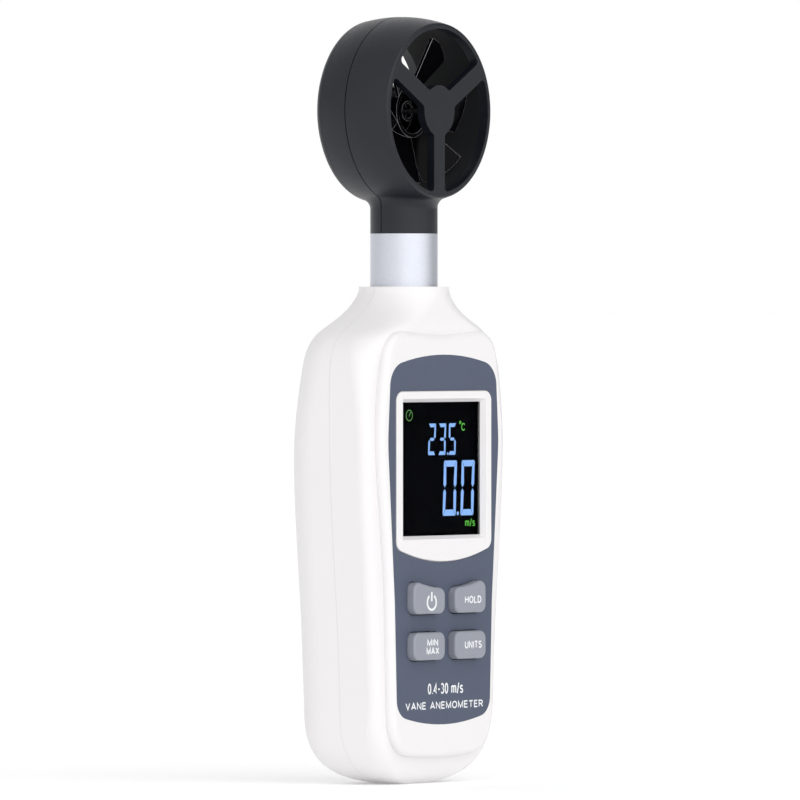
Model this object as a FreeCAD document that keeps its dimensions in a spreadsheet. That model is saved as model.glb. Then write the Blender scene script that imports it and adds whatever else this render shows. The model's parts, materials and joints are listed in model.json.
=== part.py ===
import FreeCAD, Part
import math
import os
import sys
from types import SimpleNamespace

import Sketcher
from FreeCAD import Placement, Rotation, Vector

# Handheld vane anemometer: a moulded case with a display and four keys, a round metal neck that
# swivels in it, and a short round duct in which a six-blade rotor spins between two guards.
# Millimetres. +Z is up the case, the display faces -Y, and the neck's axis is X = Y = 0 in the
# drawing; every sub-part is then moved by rest_shift along Y so that the origin is under the
# middle of the whole object. Pieces of the head are drawn about the centre of the duct.

SIZES = {
    # placing
    "rest_shift": -1.125, "head_height": 153.5,
    # case
    "wall": 1.8, "parting": 0.85, "back_flat": 15.5, "end_height": 18.0,
    "slab_front": 11.25, "slab_root": 7.8, "slab_round": 1.6, "skin": 1.95,
    "core_width": 17.2, "core_bottom": 19.0, "core_top": 95.0,
    "boss_radius": 3.0, "pilot_radius": 1.3, "bore_radius": 2.9, "bore_floor": 9.0,
    "top_screw_x": 17.6, "top_screw_z": 94.0, "low_screw_x": 12.5, "low_screw_z": 11.0,
    # neck and swivel
    "neck_radius": 7.7, "running_gap": 0.05, "tube_bore": 6.3, "tube_bottom": 99.5,
    "tube_top": 125.5, "clip_radius": 8.8, "clip_seat": 7.0, "clip_bottom": 104.2,
    "clip_thick": 1.2, "collar_bottom": 100.4, "stop_bottom": 107.2, "stop_tall": 1.6,
    "stop_reach": 8.7, "stop_wide": 1.8, "seal_height": 111.2, "seal_round": 0.55,
    # front panel, display and keys
    "overlay_thick": 0.35, "bezel_front": 11.55, "bezel_width": 18.2, "bezel_bottom": 54.0,
    "bezel_top": 89.6, "bezel_arc": 53.4, "bezel_corner": 2.3,
    "screen_width": 15.2, "screen_bottom": 56.7, "screen_top": 87.1, "screen_front": 10.36,
    "screen_bevel": 0.8, "window_rim": 1.3, "window_thick": 1.0,
    "lcd_front": 9.2, "lcd_back": 6.6, "board_front": 4.9, "board_thick": 1.6,
    "board_width": 14.4, "board_bottom": 21.0, "board_top": 98.0,
    "key_inner": 1.95, "key_outer": 13.8, "key_front": 13.25, "key_gap": 0.25,
    "key_corner": 1.9, "key_round": 0.5, "key_flange": 0.9,
    "upper_key_bottom": 38.95, "upper_key_inner": 44.8, "upper_key_outer": 46.2,
    "lower_key_bottom": 28.45, "lower_key_top": 34.8, "key_arc": 40.0, "key_level": 2.2,
    # battery compartment
    "cell_radius": 5.2, "cell_body": 43.4, "cell_nub": 1.0, "nub_radius": 1.9,
    "cell_pitch": 10.7, "cell_depth": 7.6, "cell_bottom": 22.1,
    "tray_width": 17.1, "tray_wall": 1.0, "tray_front": 1.0, "tray_back": 12.5,
    "tray_bottom": 17.7, "tray_top": 68.9,
    "door_width": 17.5, "door_bottom": 17.2, "door_top": 69.4, "door_gap": 0.25,
    "door_corner": 2.5, "door_root": 9.0,
    # duct head, about the centre of the duct
    "duct_radius": 18.7, "crown_radius": 21.5, "crown_arc": 37.9, "lip_radius": 19.9,
    "head_front": 10.1, "head_back": 10.3, "head_parting": 0.8, "inner_parting": 1.0,
    "tongue_radius": 20.05, "seam_wide": 0.22, "seam_deep": 0.35, "lip_round": 0.5,
    "guard_thick": 2.0, "guard_hub": 5.8, "spoke_wide": 4.1, "guard_corner": 1.0,
    "pivot_boss": 2.8, "pivot_boss_tall": 1.8, "bush_radius": 1.5, "bush_bore": 0.55,
    "shaft_radius": 0.5, "shaft_front": 7.7, "shaft_back": 7.9,
    "neck_drop": 28.0, "spigot_drop": 34.0, "spigot_radius": 6.25, "neck_bore": 5.6,
    "spigot_bore": 4.6, "neck_roof": 22.6,
    # rotor, about the centre of the duct
    "rotor_hub": 6.1, "rotor_lip": 5.2, "rotor_boss": 2.3, "rotor_front": 2.4,
    "boss_front": 1.1, "boss_floor": 0.4, "boss_recess": 1.65, "web_front": 1.5,
    "web_back": 2.4, "rotor_back": 4.0, "blade_thick": 0.7, "rotor_radius": 16.8,
    "tip_trim": 22.7,
    "blade_lead": -26.0, "magnet_bore": 1.2, "magnet_thick": 1.5,
    # general
    "far": 60.0, "overlap": 1.0, "lap": 0.1, "slope_drop": 1.3, "slot_gap": 0.2, "fit_gap": 0.1,
    "flange_gap": 0.3, "flange_rim": 0.8, "stem_radius": 1.6, "stem_long": 0.2,
    "switch_wide": 4.6, "switch_tall": 1.5, "plunger_radius": 1.2, "plunger_tall": 0.5,
    "lcd_step": 0.5, "frame_wall": 1.4, "board_corner": 1.5, "socket_wide": 6.0,
    "socket_deep": 4.4, "socket_bottom": 91.5, "socket_tall": 4.0, "lead_radius": 1.1,
    "lead_start": 0.4, "lead_gap": 0.3, "lead_top": 120.5,
    "slab_low": 19.3, "slab_low_z": 7.0, "slab_low_round": 9.0, "slab_foot_z": 6.0,
    "slab_waist": 20.6, "slab_waist_z": 46.0, "slab_side_round": 150.0,
    "slab_wide": 24.2, "slab_wide_z": 80.0, "slab_wide_round": 60.0, "slab_high": 20.4,
    "slab_high_z": 104.0, "slab_high_round": 7.0, "slab_dip_z": 102.3, "slab_dip_round": 20.0,
    "overlay_low": 17.85, "overlay_low_z": 16.1, "overlay_low_arc": 66.0,
    "overlay_waist": 18.7, "overlay_waist_z": 41.9, "overlay_wide": 21.25,
    "overlay_wide_z": 78.0, "overlay_high": 20.2, "overlay_high_z": 95.1,
    "overlay_high_arc": 74.0, "overlay_low_round": 4.5, "overlay_high_round": 5.7,
    "overlay_side_round": 40.0, "bezel_root": 10.3, "bezel_round": 0.25, "window_round": 0.6,
    "boss_tip": 8.6, "pilot_tip": 7.2, "pillar_radius": 4.0, "shank_radius": 1.6,
    "hook_inner": 6.0, "hook_outer": 10.0, "hook_front": 12.75, "hook_back": 13.5,
    "hook_bottom": 15.9, "hook_top": 19.0, "grip_wide": 6.0, "grip_deep": 0.4,
    "grip_bottom": 60.0, "grip_step": 1.8, "grip_tall": 0.8,
    "rib_half": 0.3, "rib_tall": 2.5, "contact_thick": 0.4, "contact_half": 4.2,
    "rib_inset": 6.0, "strip_side": 3.0, "strip_inset": 2.0, "strip_tall": 2.0,
    "spring_wide": 3.4, "spring_narrow": 2.2, "cell_round": 0.4,
    "screw_head": 2.6, "screw_head_tall": 1.7, "screw_slot": 0.35, "screw_tip": 5.5,
    "bore_bottom": 98.4, "clip_gap": 2.0, "stop_root": 7.0,
    "tongue_gap": 0.05, "back_radius": 19.0, "back_shoulder": 7.9, "shoulder_radius": 20.82,
    "back_round": 2.6, "neck_sink": 2.0, "guard_root": 0.6, "neck_flare": 2.35,
    "card_front": -0.5, "card_half": 3.6, "card_drop": 33.0, "card_thick": 1.0,
    "card_gap": 0.4, "chip_front": -2.2, "chip_half": 2.0, "chip_low": 27.6,
    "chip_high": 23.6, "probe_radius": 0.9, "probe_round": 0.7, "probe_low": 24.5, "probe_high": 17.3,
    "probe_depth": 4.3,
}

# Levels of the case from the neck down: height, half width, depth in front of the neck's axis,
# depth behind it, and the radii of the front and the rear corners.
CASE_LEVELS = [
    (113.4, 10.3, 10.3, 10.3, 10.2, 10.2),
    (112.3, 10.35, 10.3, 10.35, 10.2, 10.2),
    (110.6, 11.3, 10.3, 10.7, 10.2, 10.4),
    (107.5, 14.6, 10.4, 11.5, 9.8, 10.6),
    (104.6, 19.6, 10.5, 12.3, 8.8, 10.6),
    (101.7, 24.1, 10.0, 12.9, 7.4, 10.2),
    (98.0, 26.4, 9.3, 13.3, 5.4, 9.9),
    (93.0, 27.2, 9.0, 13.8, 3.8, 9.7),
    (87.0, 27.3, 9.1, 14.7, 2.9, 9.6),
    (79.0, 27.2, 9.4, 15.6, 2.5, 9.5),
    (69.0, 26.9, 9.4, 15.9, 2.5, 9.5),
    (57.0, 26.05, 9.4, 15.9, 2.5, 9.5),
    (45.0, 25.0, 9.4, 15.9, 2.5, 9.5),
    (34.0, 24.1, 9.4, 15.9, 2.5, 9.5),
    (25.0, 23.6, 9.4, 15.9, 2.5, 9.5),
    (18.0, 23.35, 9.4, 15.8, 2.6, 9.5),
]
LEVEL_LETTERS = "abcdefghijklmnop"
LEVEL_FIELDS = ("height", "width", "front", "rear", "nose", "tail")
FIRST_HOLLOW_LEVEL = 5
SLOPING_LEVELS = 9
# The rounded end below the last level: how far down each further level is, as a fraction of the
# end's height, and the powers of the curves that its width and its depth follow.
END_FRACTIONS = (0.25, 0.45, 0.62, 0.76, 0.87, 0.95, 1.0)
END_WIDTH_POWER, END_DEPTH_POWER = 2.6, 3.2
END_LEAST_WIDTH, END_LEAST_DEPTH = 0.26, 0.38


class Size:
    """A number together with the spreadsheet formula that gives it."""

    def __init__(self, value, formula):
        self.value = value
        self.formula = formula

    def join(self, sign, other, value):
        return Size(value, "(%s %s %s)" % (self.formula, sign, formula_of(other)))

    def __add__(self, other):
        return self.join("+", other, self.value + number(other))

    def __sub__(self, other):
        return self.join("-", other, self.value - number(other))

    def __mul__(self, other):
        return self.join("*", other, self.value * number(other))

    def __neg__(self):
        return self * -1

    def __radd__(self, other):
        return self + other


def number(amount):
    return amount.value if isinstance(amount, Size) else float(amount)


def formula_of(amount):
    return amount.formula if isinstance(amount, Size) else "(%r)" % float(amount)


doc = FreeCAD.newDocument("VaneAnemometer")
sheet = doc.addObject("Spreadsheet::Sheet", "Sizes")


def fill_sheet():
    """Write every driving size into the sheet and return them by name."""
    rows = dict(SIZES)
    for index, level in enumerate(CASE_LEVELS):
        for field, value in zip(LEVEL_FIELDS, level):
            rows["level_%s_%s" % (LEVEL_LETTERS[index], field)] = value
    sizes = {}
    for row, (alias, value) in enumerate(rows.items(), start=1):
        sheet.set("A%d" % row, alias)
        sheet.set("B%d" % row, repr(value))
        sheet.setAlias("B%d" % row, alias)
        sizes[alias] = Size(value, "Sizes." + alias)
    doc.recompute()
    return sizes


sizes = fill_sheet()
S = SimpleNamespace(**sizes)
subparts = []


# ---------------------------------------------------------------- drawing helpers

def bind(item, target, amount):
    """Drive a property, or a constraint, from the sheet."""
    item.setExpression(target, formula_of(amount))


def keep(item, label, height=0.0, base=None):
    """Name a finished sub-part and move it to where it sits on the object."""
    item.Label = label
    x, y, z = base or (0.0, 0.0, height)
    item.Placement = Placement(Vector(number(x), number(y) + S.rest_shift.value, number(z)),
                               item.Placement.Rotation)
    subparts.append(item)
    return item


def new_body(name):
    body = doc.addObject("PartDesign::Body", name)
    body.AllowCompound = True
    return body


def origin_item(body, role):
    return next(item for item in body.Origin.OriginFeatures if item.Role == role)


FREE_TURNS = {
    "XY_Plane": Rotation(),
    "XZ_Plane": Rotation(Vector(1, 0, 0), 90),
}


def new_sketch(owner, name, plane, offset=0.0):
    """A sketch on a plane, moved by offset along that plane's normal (-Y for XZ_Plane)."""
    if owner is None:
        sketch = doc.addObject("Sketcher::SketchObject", name)
        turn = FREE_TURNS[plane]
        sketch.Placement = Placement(turn.multVec(Vector(0, 0, number(offset))), turn)
        if plane == "XY_Plane":
            bind(sketch, "Placement.Base.z", offset)
        else:
            bind(sketch, "Placement.Base.y", offset * -1)
        return sketch
    sketch = owner.newObject("Sketcher::SketchObject", name)
    sketch.AttachmentSupport = (origin_item(owner, plane), [""])
    sketch.MapMode = "FlatFace"
    sketch.AttachmentOffset = Placement(Vector(0, 0, number(offset)), Rotation())
    bind(sketch, "AttachmentOffset.Base.z", offset)
    return sketch


def pin(sketch, geometry, vertex, x, y):
    """Dimension a vertex from the sketch's origin."""
    for kind, axis, amount in (("DistanceX", -2, x), ("DistanceY", -1, y)):
        if number(amount) == 0:
            sketch.addConstraint(Sketcher.Constraint("PointOnObject", geometry, vertex, axis))
            continue
        rule = Sketcher.Constraint(kind, -1, 1, geometry, vertex, number(amount))
        bind(sketch, "Constraints[%d]" % sketch.addConstraint(rule), amount)


def arc_between(start, end, radius, turn):
    """The short arc from start to end; turn is 1 to the left and -1 to the right."""
    chord = end - start
    side = Vector(-chord.y, chord.x, 0).normalize() * turn
    rise = math.sqrt(radius ** 2 - (chord.Length / 2) ** 2)
    centre = start + chord * 0.5 + side * rise
    first, last = (start, end) if turn > 0 else (end, start)
    angles = [math.atan2(tip.y - centre.y, tip.x - centre.x) for tip in (first, last)]
    circle = Part.Circle(centre, Vector(0, 0, 1), radius)
    return Part.ArcOfCircle(circle, angles[0], angles[1])


def draw(sketch, steps):
    """Closed outline. A step (x, y) is reached by a line, and (x, y, radius, turn) by an arc."""
    spots = [Vector(number(step[0]), number(step[1]), 0) for step in steps]
    ends = []
    for index, step in enumerate(steps):
        start, end = spots[index - 1], spots[index]
        if len(step) == 2:
            geometry = sketch.addGeometry(Part.LineSegment(start, end))
            ends.append((geometry, 1, 2))
            continue
        radius, turn = step[2:]
        geometry = sketch.addGeometry(arc_between(start, end, number(radius), turn))
        ends.append((geometry, 1, 2) if turn > 0 else (geometry, 2, 1))
        rule = Sketcher.Constraint("Radius", geometry, number(radius))
        bind(sketch, "Constraints[%d]" % sketch.addConstraint(rule), radius)
    for index, (geometry, _, vertex) in enumerate(ends):
        following, first, _ = ends[(index + 1) % len(ends)]
        sketch.addConstraint(
            Sketcher.Constraint("Coincident", geometry, vertex, following, first))
        pin(sketch, geometry, vertex, steps[index][0], steps[index][1])


def draw_circle(sketch, radius, x=0.0, y=0.0):
    centre = Vector(number(x), number(y), 0)
    geometry = sketch.addGeometry(Part.Circle(centre, Vector(0, 0, 1), number(radius)))
    rule = Sketcher.Constraint("Radius", geometry, number(radius))
    bind(sketch, "Constraints[%d]" % sketch.addConstraint(rule), radius)
    pin(sketch, geometry, 3, x, y)


def draw_box(sketch, left, right, low, high):
    draw(sketch, [(left, low), (right, low), (right, high), (left, high)])


def draw_rounded(sketch, left, right, low, high, near, far=None):
    """Rectangle whose low corners have the radius near and whose high corners have far."""
    far = near if far is None else far
    draw(sketch, [
        (right - near, low),
        (right, low + near, near, 1), (right, high - far),
        (right - far, high, far, 1), (left + far, high),
        (left, high - far, far, 1), (left, low + near),
        (left + near, low, near, 1),
    ])


def pad(body, sketch, length, reverse=False, midplane=False):
    feature = body.newObject("PartDesign::Pad", "Pad")
    return finish_extrusion(feature, sketch, length, reverse, midplane)


def pocket(body, sketch, length, reverse=False, midplane=False):
    """Cut away from the sketch, against its normal unless reverse is set."""
    feature = body.newObject("PartDesign::Pocket", "Pocket")
    before = feature.BaseFeature.Shape.Volume
    finish_extrusion(feature, sketch, length, reverse, midplane)
    if feature.Shape.Volume > before - 1e-3:
        sys.exit("%s: a pocket removed nothing" % body.Name)
    return feature


def finish_extrusion(feature, sketch, length, reverse, midplane):
    feature.Profile = sketch
    feature.Length = number(length)
    bind(feature, "Length", length)
    feature.Reversed = reverse
    feature.Midplane = midplane
    sketch.Visibility = False
    doc.recompute()
    return feature


def revolve(body, sketch, cut=False, axis="H_Axis"):
    kind = "PartDesign::Groove" if cut else "PartDesign::Revolution"
    feature = body.newObject(kind, "Turned")
    feature.Profile = sketch
    feature.ReferenceAxis = (sketch, [axis])
    feature.Angle = 360.0
    doc.recompute()
    return feature


def body_loft(body, sketches):
    feature = body.newObject("PartDesign::AdditiveLoft", "Loft")
    feature.Profile = sketches[0]
    feature.Sections = sketches[1:]
    doc.recompute()
    return feature


def polar(body, feature, axis, count):
    pattern = body.newObject("PartDesign::PolarPattern", "Pattern")
    pattern.Originals = [feature]
    pattern.Axis = (origin_item(body, axis), [""])
    pattern.Angle = 360.0
    pattern.Occurrences = count
    body.Tip = pattern
    doc.recompute()
    return pattern


def edges_where(item, test):
    return ["Edge%d" % (index + 1) for index, edge in enumerate(item.Shape.Edges) if test(edge)]


def body_fillet(body, radius, test):
    base = body.Tip
    feature = body.newObject("PartDesign::Fillet", "Fillet")
    feature.Base = (base, edges_where(base, test))
    feature.Radius = number(radius)
    bind(feature, "Radius", radius)
    doc.recompute()
    return feature


def spans(edge, axis, amount):
    """True where an edge runs straight along one axis for about that length."""
    box = edge.BoundBox
    lengths = {"X": box.XLength, "Y": box.YLength, "Z": box.ZLength}
    own = lengths.pop(axis)
    return abs(own - number(amount)) < 0.02 and max(lengths.values()) < 0.01


def along(edge, axis):
    """True where an edge runs straight along one axis."""
    box = edge.BoundBox
    lengths = {"X": box.XLength, "Y": box.YLength, "Z": box.ZLength}
    return lengths.pop(axis) > 0.1 and max(lengths.values()) < 0.01


def at_depth(edge, depth):
    """True where a whole edge lies in the plane at that Y."""
    box = edge.BoundBox
    return abs(box.YMin - number(depth)) < 0.01 and abs(box.YMax - number(depth)) < 0.01


# ---------------------------------------------------------------- solids outside bodies

def extrude(sketch, name, length):
    """Solid from a free sketch, along the sketch's normal."""
    solid = doc.addObject("Part::Extrusion", name)
    solid.Base = sketch
    solid.DirMode = "Normal"
    solid.Solid = True
    solid.LengthFwd = number(length)
    bind(solid, "LengthFwd", length)
    doc.recompute()
    return solid


def slab(name, left, right, front, back, low, high):
    """Box between two X, two Y and two Z places."""
    solid = doc.addObject("Part::Box", name)
    for side, amount in (("Length", right - left), ("Width", back - front),
                         ("Height", high - low)):
        setattr(solid, side, number(amount))
        bind(solid, side, amount)
    for axis, amount in (("x", left), ("y", front), ("z", low)):
        bind(solid, "Placement.Base." + axis, amount)
    return solid


def rod(name, radius, start, end, axis="Z", x=0.0, y=0.0, z=0.0):
    """Cylinder along Z from one height to another, or along Y from one depth to another."""
    solid = doc.addObject("Part::Cylinder", name)
    bind(solid, "Radius", radius)
    bind(solid, "Height", end - start)
    if axis == "Y":
        solid.Placement = Placement(Vector(), Rotation(Vector(1, 0, 0), -90))
    places = {"x": x, "y": y, "z": z, axis.lower(): start}
    for way, amount in places.items():
        bind(solid, "Placement.Base." + way, amount)
    return solid


def cut(name, base, tools):
    for index, tool in enumerate(tools):
        result = doc.addObject("Part::Cut", "%s_cut_%d" % (name, index))
        result.Base = base
        result.Tool = tool
        base = result
    doc.recompute()
    return base


def fuse(name, shapes):
    result = doc.addObject("Part::MultiFuse", name)
    result.Shapes = shapes
    result.Refine = True
    doc.recompute()
    return result


def common(name, shapes):
    result = doc.addObject("Part::MultiCommon", name)
    result.Shapes = shapes
    doc.recompute()
    return result


def group(name, shapes):
    result = doc.addObject("Part::Compound", name)
    result.Links = shapes
    doc.recompute()
    return result


def rounded(name, base, rules):
    """Fillet a free solid; each rule is a radius and the test its edges pass."""
    doc.recompute()
    result = doc.addObject("Part::Fillet", name)
    result.Base = base
    picked = []
    for radius, test in rules:
        for index, edge in enumerate(base.Shape.Edges, start=1):
            if test(edge):
                picked.append((index, number(radius), number(radius)))
    result.Edges = picked
    doc.recompute()
    return result


# ---------------------------------------------------------------- case

def section(name, height, width, front, rear, nose, tail):
    """One level of the case: flat front and back, with its own corner radii."""
    sketch = new_sketch(None, name, "XY_Plane", height)
    draw_rounded(sketch, -width, width, -front, rear, nose, tail)
    return sketch


def superellipse(fraction, power, least):
    return max((1 - fraction ** power) ** (1 / power), least)


def case_form(name, inset=0.0):
    """Smooth solid through the levels; with an inset it is the case's cavity."""
    sections = []
    first = FIRST_HOLLOW_LEVEL if inset else 0
    for index in range(first, len(CASE_LEVELS)):
        height, width, front, rear, nose, tail = [
            sizes["level_%s_%s" % (LEVEL_LETTERS[index], field)] for field in LEVEL_FIELDS]
        if inset and index < SLOPING_LEVELS:
            height = height - S.slope_drop
        sections.append(section("%s_level" % name, height, width - inset, front - inset,
                                rear - inset, nose - inset, tail - inset))
    for fraction in END_FRACTIONS:
        wide = superellipse(fraction, END_WIDTH_POWER, END_LEAST_WIDTH)
        deep = superellipse(fraction, END_DEPTH_POWER, END_LEAST_DEPTH)
        height = (S.end_height - inset) * (1 - fraction) + inset
        sections.append(section("%s_end" % name, height, (width - inset) * wide,
                                (front - inset) * deep, (rear - inset) * deep,
                                (nose - inset) * (deep * (1 + fraction)),
                                (tail - inset) * deep))
    form = doc.addObject("Part::Loft", name)
    form.Sections = sections
    form.Solid = True
    form.Ruled = False
    doc.recompute()
    return form


def everything(name, front=None, back=None):
    """Box far larger than the object, bounded in Y only."""
    low = -S.far if front is None else front
    high = S.far if back is None else back
    return slab(name, -S.far, S.far, low, high, -S.far, S.far * 2)


def key_outline(sketch, side, upper, grow=0.0):
    """A key's outline; the upper keys' top edges dip towards the middle, under the display."""
    inner, outer = (S.key_inner - grow) * side, (S.key_outer + grow) * side
    if not upper:
        low, high = S.lower_key_bottom - grow, S.lower_key_top + grow
        draw(sketch, [(inner, low), (outer, low), (outer, high), (inner, high)])
        return
    low, high = S.upper_key_bottom - grow, S.upper_key_outer + grow
    draw(sketch, [
        (inner, low), (outer, low), (outer, high), (outer - S.key_level * side, high),
        (inner, S.upper_key_inner + grow, S.key_arc, -side),
    ])


def key_corners(upper, grow=0.0):
    """The four corners of a key's outline, as front_prism takes them."""
    low, inner_high, outer_high = (
        (S.upper_key_bottom, S.upper_key_inner, S.upper_key_outer) if upper else
        (S.lower_key_bottom, S.lower_key_top, S.lower_key_top))
    inner, outer = S.key_inner - grow, S.key_outer + grow
    places = [(inner, low - grow), (outer, low - grow), (outer, outer_high + grow),
              (inner, inner_high + grow)]
    return [(S.key_corner + grow, x, z) for x, z in places]


def key_prisms(name):
    """The openings for the keys, through everything in front of the parting."""
    return [front_prism(label + name, key_outline, S.parting, S.far,
                        key_corners(upper, S.key_gap), side=side, upper=upper, grow=S.key_gap)
            for label, (side, upper) in KEYS.items()]


KEYS = {
    "power_button": (-1, True), "hold_button": (1, True),
    "min_max_button": (-1, False), "units_button": (1, False),
}


def overlay_outline(sketch):
    draw(sketch, [
        (-S.overlay_low, S.overlay_low_z),
        (S.overlay_low, S.overlay_low_z, S.overlay_low_arc, 1),
        (S.overlay_waist, S.overlay_waist_z), (S.overlay_wide, S.overlay_wide_z),
        (S.overlay_high, S.overlay_high_z),
        (-S.overlay_high, S.overlay_high_z, S.overlay_high_arc, 1),
        (-S.overlay_wide, S.overlay_wide_z), (-S.overlay_waist, S.overlay_waist_z),
    ])


def bezel_outline(sketch, grow=0.0):
    side = S.bezel_width + grow
    low = S.bezel_bottom - grow
    draw(sketch, [
        (-side, low), (side, low, S.bezel_arc, 1), (side, S.bezel_top + grow),
        (-side, S.bezel_top + grow),
    ])


def bezel_corners(grow=0.0):
    side = S.bezel_width + grow
    return [(S.bezel_corner + grow, side, S.bezel_bottom - grow),
            (S.bezel_corner + grow, side, S.bezel_top + grow)]


def slab_outline(sketch):
    draw(sketch, [
        (S.slab_low, S.slab_low_z), (S.slab_waist, S.slab_waist_z),
        (S.slab_wide, S.slab_wide_z), (S.slab_high, S.slab_high_z), (0.0, S.slab_dip_z),
        (-S.slab_high, S.slab_high_z), (-S.slab_wide, S.slab_wide_z),
        (-S.slab_waist, S.slab_waist_z), (-S.slab_low, S.slab_low_z), (0.0, S.slab_foot_z),
    ])


def upright_at(x, z):
    """Test for the edge along Y that passes through (x, z), on either side."""
    def test(edge):
        box = edge.BoundBox
        return (along(edge, "Y") and abs(abs(box.XMin) - number(x)) < 0.05
                and abs(box.ZMin - number(z)) < 0.05)
    return test


def front_prism(name, outline, start, thickness, corners=(), **options):
    """Prism towards the front from Y = -start, with rounded upright edges."""
    sketch = new_sketch(None, name + "_outline", "XZ_Plane", start)
    outline(sketch, **options)
    prism = extrude(sketch, name + "_prism", thickness)
    if corners:
        rules = [(radius, upright_at(x, z)) for radius, x, z in corners]
        prism = rounded(name + "_corners", prism, rules)
    return prism


SLAB_CORNERS = [
    (S.slab_low_round, S.slab_low, S.slab_low_z), (S.slab_side_round, S.slab_waist, S.slab_waist_z),
    (S.slab_wide_round, S.slab_wide, S.slab_wide_z),
    (S.slab_high_round, S.slab_high, S.slab_high_z),
    (S.slab_dip_round, 0.0, S.slab_dip_z), (S.slab_side_round, 0.0, S.slab_foot_z),
]
OVERLAY_CORNERS = [
    (S.overlay_low_round, S.overlay_low, S.overlay_low_z),
    (S.slab_side_round, S.overlay_waist, S.overlay_waist_z),
    (S.overlay_side_round, S.overlay_wide, S.overlay_wide_z),
    (S.overlay_high_round, S.overlay_high, S.overlay_high_z),
]
SCREWS = [(place * side, z) for place, z in (
    (S.top_screw_x, S.top_screw_z), (S.low_screw_x, S.low_screw_z)) for side in (-1, 1)]


def collar_tools(name, rear):
    """What the swivelling neck needs cut out of each half of the collar."""
    bore = S.neck_radius + S.running_gap
    clear = S.clip_radius + S.slot_gap
    tools = [
        rod(name + "_bore", bore, S.bore_bottom, S.tube_top),
        rod(name + "_clip_slot", clear, S.clip_bottom - S.slot_gap,
            S.clip_bottom + S.clip_thick + S.slot_gap),
        rod(name + "_seal_slot", bore + S.seal_round * 2, S.seal_height - S.seal_round,
            S.seal_height + S.seal_round),
    ]
    reach = S.stop_reach + S.slot_gap
    low, high = S.stop_bottom - S.slot_gap, S.stop_bottom + S.stop_tall + S.slot_gap
    turn = rod(name + "_stop_turn", reach, low, high)
    if rear:
        tools.append(turn)
    else:
        ends = slab(name + "_stop_ends", -reach, reach, -S.stop_wide * 0.75, S.far, low, high)
        tools.append(common(name + "_stop_slot", [turn, ends]))
    return tools


def make_case_covers():
    case = common("case_outside", [case_form("case"), everything("back_trim", None, S.back_flat)])
    cavity = case_form("cavity", S.wall)
    raised = front_prism("raised_panel", slab_outline, S.slab_root, S.slab_front - S.slab_root,
                         SLAB_CORNERS)
    raised = rounded("raised_edge", raised, [
        (S.slab_round, lambda edge: at_depth(edge, -S.slab_front))])
    overlay_bed = front_prism("overlay_bed", overlay_outline, S.slab_front - S.overlay_thick,
                              S.far, OVERLAY_CORNERS)
    bezel = front_prism("bezel", bezel_outline, S.bezel_root, S.bezel_front - S.bezel_root,
                        bezel_corners())
    bezel = rounded("bezel_edge", bezel, [
        (S.bezel_round, lambda edge: at_depth(edge, -S.bezel_front))])
    panel = fuse("front_panel", [cut("panel_bed", raised, [overlay_bed]), bezel])

    core = slab("front_core", -S.core_width, S.core_width, -S.slab_front + S.skin,
                S.parting, S.core_bottom, S.core_top)
    bosses = [rod("boss", S.boss_radius, -S.boss_tip, S.parting, "Y", x=x, z=z)
              for x, z in SCREWS]
    pilots = [rod("pilot", S.pilot_radius, -S.pilot_tip, S.far, "Y", x=x, z=z)
              for x, z in SCREWS]
    rebate = slab("window_rebate", -S.screen_width - S.window_rim - S.fit_gap,
                  S.screen_width + S.window_rim + S.fit_gap, -S.screen_front,
                  S.parting, S.screen_bottom - S.window_rim - S.fit_gap,
                  S.screen_top + S.window_rim + S.fit_gap)
    openings = [window_sight(), rebate] + key_prisms("_hole")
    rear_half = everything("rear_half", S.parting)
    skin = cut("front_skin", fuse("front_solid", [case, panel]), [cavity, core])
    front = cut("front_cover", fuse("front_bossed", [skin] + bosses),
                pilots + openings + collar_tools("front", False) + [rear_half])
    keep(front, "front_cover")

    front_half = everything("front_half", None, S.parting)
    pillars = common("pillars", [case, fuse("pillar_rods", [
        rod("pillar", S.pillar_radius, S.parting, S.far, "Y", x=x, z=z) for x, z in SCREWS])])
    shanks = [rod("shank_hole", S.shank_radius, S.parting - S.overlap, S.far, "Y", x=x, z=z)
              for x, z in SCREWS]
    heads = [rod("head_hole", S.bore_radius, S.bore_floor, S.far, "Y", x=x, z=z)
             for x, z in SCREWS]
    doorway = door_prism("doorway", S.door_gap)
    rear = cut("rear_cover", fuse("rear_pillared", [cut("rear_skin", case, [cavity]), pillars]),
               shanks + heads + [doorway] + collar_tools("rear", True) + [front_half])
    keep(rear, "rear_cover")
    make_door(case, cavity)
    return overlay_bed


def window_sight():
    """The display's opening, which narrows from the bezel's face to the window."""
    sections = []
    for name, depth, grow in (("sight_back", S.screen_front - 0.01, 0.0),
                              ("sight_front", S.bezel_front, S.screen_bevel)):
        sketch = new_sketch(None, name, "XZ_Plane", depth)
        draw_box(sketch, -S.screen_width - grow, S.screen_width + grow,
                 S.screen_bottom - grow, S.screen_top + grow)
        sections.append(sketch)
    sight = doc.addObject("Part::Loft", "window_sight")
    sight.Sections = sections
    sight.Solid = True
    sight.Ruled = True
    doc.recompute()
    return sight


def door_prism(name, grow=0.0):
    """Prism through the back wall with the battery door's outline."""
    sketch = new_sketch(None, name, "XZ_Plane", -S.far)
    draw_rounded(sketch, -S.door_width - grow, S.door_width + grow, S.door_bottom - grow,
                 S.door_top + grow, S.door_corner)
    return extrude(sketch, name + "_prism", S.far - S.door_root)


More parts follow.
